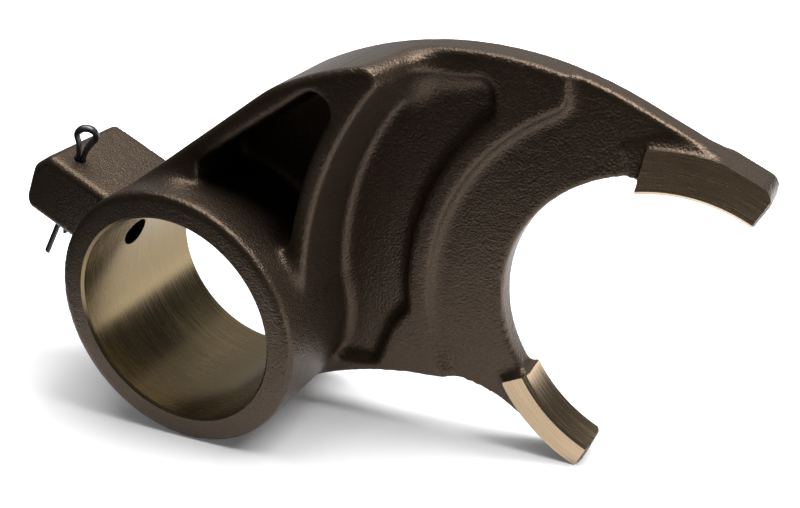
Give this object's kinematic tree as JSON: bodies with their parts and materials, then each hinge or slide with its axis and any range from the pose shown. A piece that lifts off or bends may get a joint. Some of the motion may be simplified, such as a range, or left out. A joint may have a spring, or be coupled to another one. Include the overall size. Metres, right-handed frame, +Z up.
{
  "type": "shift fork",
  "caption": "Gearbox shift fork: bored hub with a side boss and split pin, ribbed curved arm and two fingers with machined pads.",
  "frame": {"origin": "centre of the hub bore, halfway along the hub", "axes": "+Y along the bore from the front face to the back face, +X from the hub towards the fingers, +Z up, with the hub and the lower fingertip standing on one level"},
  "size_m": [0.1194, 0.028, 0.0627],
  "materials": {
    "cast_bronze": "as cast, dull dark brown with a fine grain; bore and pads machined and pale gold",
    "pin_steel": "plain drawn wire"
  },
  "bodies": {
    "root": {"fork_body": "cast_bronze", "split_pin": "pin_steel"}
  },
  "joints": []
}
